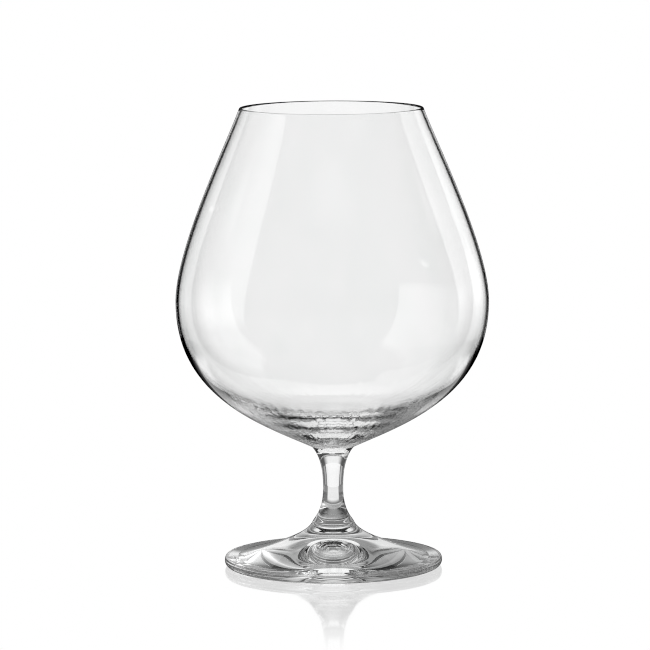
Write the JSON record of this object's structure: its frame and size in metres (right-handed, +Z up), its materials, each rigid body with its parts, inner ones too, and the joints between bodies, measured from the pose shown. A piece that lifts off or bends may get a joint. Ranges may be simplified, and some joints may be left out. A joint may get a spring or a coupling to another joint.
{
  "type": "brandy glass",
  "caption": "Large stemmed brandy glass in clear glass: a wide-bellied bowl drawn in to a narrow mouth, a short waisted stem and a broad conical foot.",
  "frame": {"origin": "on the table, under the middle of the foot", "axes": "+Z up along the glass's axis of turning, from the foot to the mouth; X and Y are alike because the glass is round"},
  "size_m": [0.1074, 0.1074, 0.158],
  "materials": {
    "blown_bowl_glass": "clear, blown and fire-polished",
    "drawn_stem_glass": "clear, drawn hot and left bright",
    "pressed_foot_glass": "clear, pressed and fire-polished"
  },
  "bodies": {
    "root": {"bowl": "blown_bowl_glass", "stem": "drawn_stem_glass", "foot": "pressed_foot_glass"}
  },
  "joints": []
}
